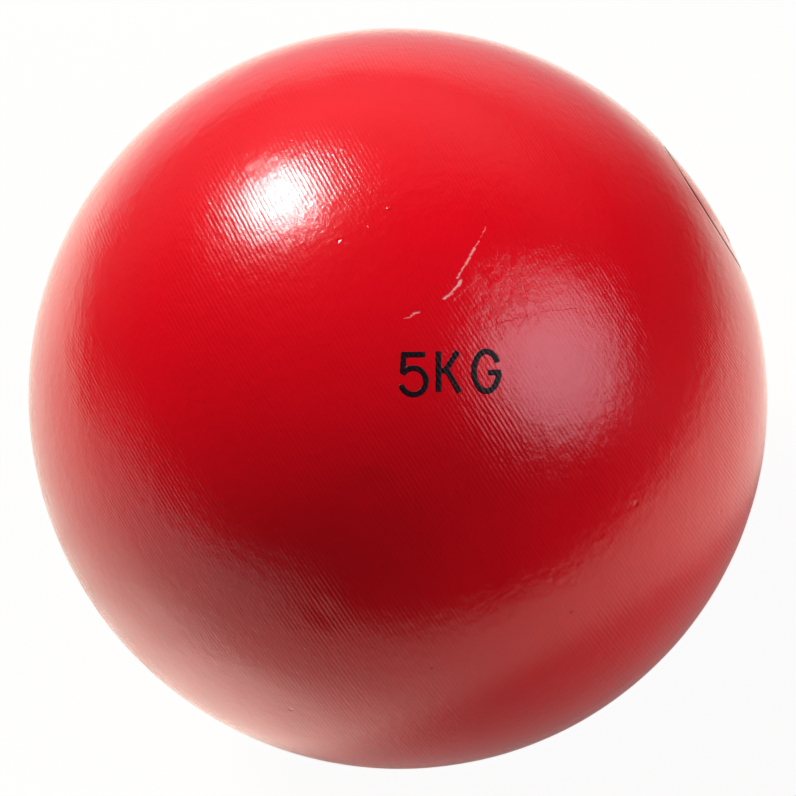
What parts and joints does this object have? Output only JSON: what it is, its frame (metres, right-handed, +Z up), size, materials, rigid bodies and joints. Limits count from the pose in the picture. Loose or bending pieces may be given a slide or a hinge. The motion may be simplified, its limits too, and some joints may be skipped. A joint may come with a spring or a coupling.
{
  "type": "shot put ball",
  "caption": "Turned iron shot for the shot put: a red enamelled ball, lead-filled through a hole bored in one end, with a felt wad, copper washer and flush domed screw plug.",
  "frame": {"origin": "centre of the ball", "axes": "+X along the turning axis towards the screw plug, +Z up through the weight mark, -Z down to the point that the ball rests on"},
  "size_m": [0.1088, 0.11, 0.11],
  "materials": {
    "red_painted_iron": "gloss red enamel over turned cast iron, bare in the bored and tapped hole",
    "red_painted_steel": "gloss red enamel on the domed face, bare turned steel below",
    "copper": "soft copper, dull",
    "felt": "pressed grey wool felt",
    "lead": "cast lead, dull blue-grey"
  },
  "bodies": {
    "ball": {"ball_body": "red_painted_iron", "lead_core": "lead", "packing_wad": "felt"},
    "washer": {"sealing_washer": "copper"},
    "plug": {"closing_plug": "red_painted_steel"}
  },
  "joints": [
    {"name": "plug_lift", "type": "slide", "parent": "ball", "child": "washer", "axis": [1, 0, 0], "range_m": [0, 0.018]},
    {"name": "plug_turn", "type": "hinge", "parent": "washer", "child": "plug", "pos_m": [0.05, 0, 0], "axis": [1, 0, 0], "range_deg": [0, 4320]}
  ],
  "couplings": [
    {"joint": "plug_lift", "follows": "plug_turn", "m_per_rad": 0.00023873}
  ]
}
